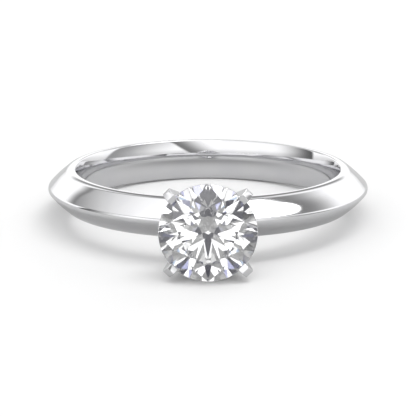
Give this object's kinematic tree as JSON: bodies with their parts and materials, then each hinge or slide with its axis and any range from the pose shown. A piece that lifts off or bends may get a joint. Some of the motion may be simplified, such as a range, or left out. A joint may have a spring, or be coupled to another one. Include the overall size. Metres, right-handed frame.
{
  "type": "solitaire engagement ring",
  "caption": "Solitaire ring: knife-edge comfort-fit band with a round brilliant stone in a square-claw basket head.",
  "frame": {"origin": "centre of the finger hole, at the middle of the band's width", "axes": "+Z along the finger hole; -Y out through the middle of the stone's table; X across the band"},
  "size_m": [0.0214, 0.0253, 0.0066],
  "materials": {
    "white_gold": "mirror-polished white gold",
    "diamond": "faceted and polished, colourless"
  },
  "bodies": {
    "root": {"shank": "white_gold", "head_base": "white_gold", "claw_1": "white_gold", "claw_2": "white_gold", "claw_3": "white_gold", "claw_4": "white_gold", "upper_rail": "white_gold", "lower_rail": "white_gold", "centre_stone": "diamond"}
  },
  "joints": []
}
